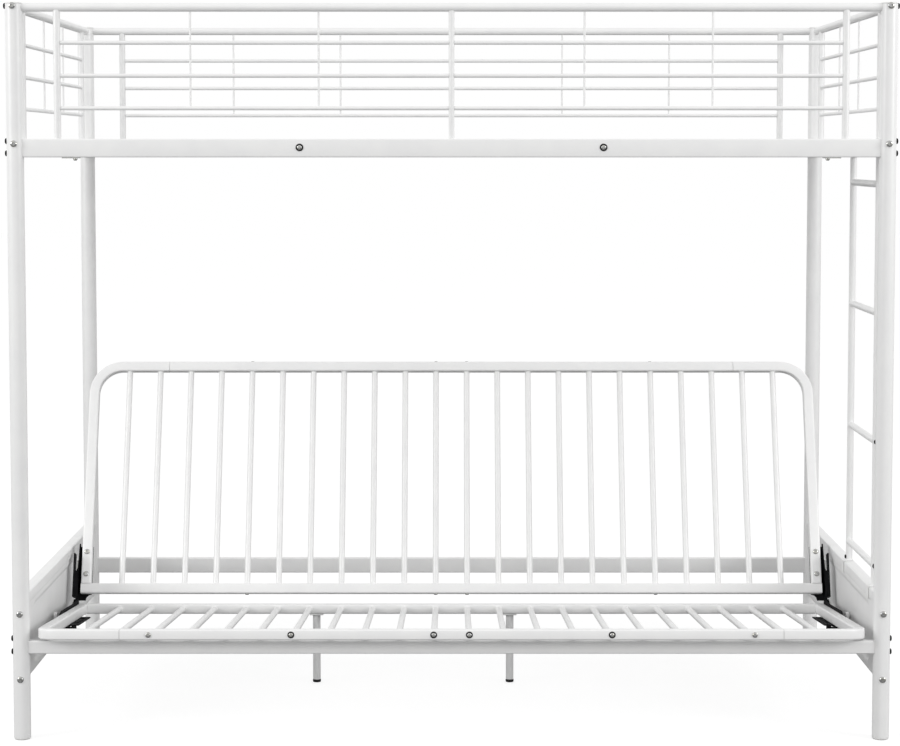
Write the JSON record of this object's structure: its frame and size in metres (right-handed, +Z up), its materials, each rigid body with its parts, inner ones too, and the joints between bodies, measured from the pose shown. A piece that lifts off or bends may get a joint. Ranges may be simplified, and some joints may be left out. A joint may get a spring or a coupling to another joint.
{
  "type": "futon bunk bed",
  "caption": "Metal bunk bed with a slatted upper deck over a folding futon frame, end ladder and guard rails on all sides.",
  "frame": {"origin": "on the floor, under the middle of the bed's box", "axes": "+Z up, the front with the futon's open side towards -Y, the ladder end towards +X"},
  "size_m": [1.981, 1.0648, 1.657],
  "materials": {
    "white_paint": "semi-gloss powder coat",
    "white_plastic": "satin",
    "black_paint": "satin",
    "black_plastic": "matt",
    "zinc_plate": "bright zinc"
  },
  "bodies": {
    "frame": {"post_front_left": "white_paint", "post_cap_front_left": "white_plastic", "post_glide_front_left": "white_plastic", "post_front_right": "white_paint", "post_cap_front_right": "white_plastic", "post_glide_front_right": "white_plastic", "post_rear_left": "white_paint", "post_cap_rear_left": "white_plastic", "post_glide_rear_left": "white_plastic", "post_rear_right": "white_paint", "post_cap_rear_right": "white_plastic", "post_glide_rear_right": "white_plastic", "guard_top_rail_front": "white_paint", "guard_top_rail_rear": "white_paint", "guard_grille_front": "white_paint", "guard_grille_rear": "white_paint", "side_rail_front": "white_paint", "side_rail_rear": "white_paint", "lower_beam_front": "white_paint", "lower_beam_rear": "white_paint", "end_frame_left": "white_paint", "end_frame_right": "white_paint", "deck_cross_bar_left": "white_paint", "deck_cross_bar_right": "white_paint", "deck_panel_front": "white_paint", "deck_panel_rear": "white_paint", "end_panel_left": "white_paint", "end_panel_right": "white_paint", "ladder_stile_front": "white_paint", "ladder_stile_rear": "white_paint", "ladder_foot_plate_front": "white_paint", "ladder_foot_plate_rear": "white_paint", "ladder_rung_1": "white_paint", "ladder_rung_2": "white_paint", "ladder_rung_3": "white_paint", "ladder_rung_4": "white_paint", "track_left": "white_paint", "track_right": "white_paint"},
    "carriage": {"carriage_left": "black_paint", "carriage_right": "black_paint", "slide_shoe_left": "black_plastic", "slide_shoe_right": "black_plastic"},
    "seat": {"seat_side_left": "white_paint", "seat_side_right": "white_paint", "seat_front_rail": "white_paint", "seat_grille": "white_paint", "seat_arm_left": "black_paint", "seat_arm_right": "black_paint", "support_leg_left": "white_paint", "support_leg_right": "white_paint", "support_leg_foot_left": "black_plastic", "support_leg_foot_right": "black_plastic"},
    "back": {"back_side_left": "white_paint", "back_side_right": "white_paint", "back_top_rail": "white_paint", "back_grille": "white_paint", "back_arm_left": "black_paint", "back_arm_right": "black_paint", "back_link_left": "zinc_plate", "back_link_right": "zinc_plate"}
  },
  "joints": [
    {"name": "seat_slide", "type": "slide", "parent": "frame", "child": "carriage", "axis": [0, -0.9242, 0.382], "range_m": [0, 0.1623]},
    {"name": "seat_level", "type": "hinge", "parent": "carriage", "child": "seat", "pos_m": [0, 0.05946, 0.19456], "axis": [1, 0, 0], "range_deg": [0, 5.9]},
    {"name": "back_recline", "type": "hinge", "parent": "carriage", "child": "back", "pos_m": [0, 0.05946, 0.19456], "axis": [-1, 0, 0], "range_deg": [0, 70.3]}
  ],
  "couplings": [
    {"joint": "seat_level", "follows": "seat_slide", "rad_per_m": 0.63412},
    {"joint": "back_recline", "follows": "seat_slide", "rad_per_m": 7.5557}
  ]
}
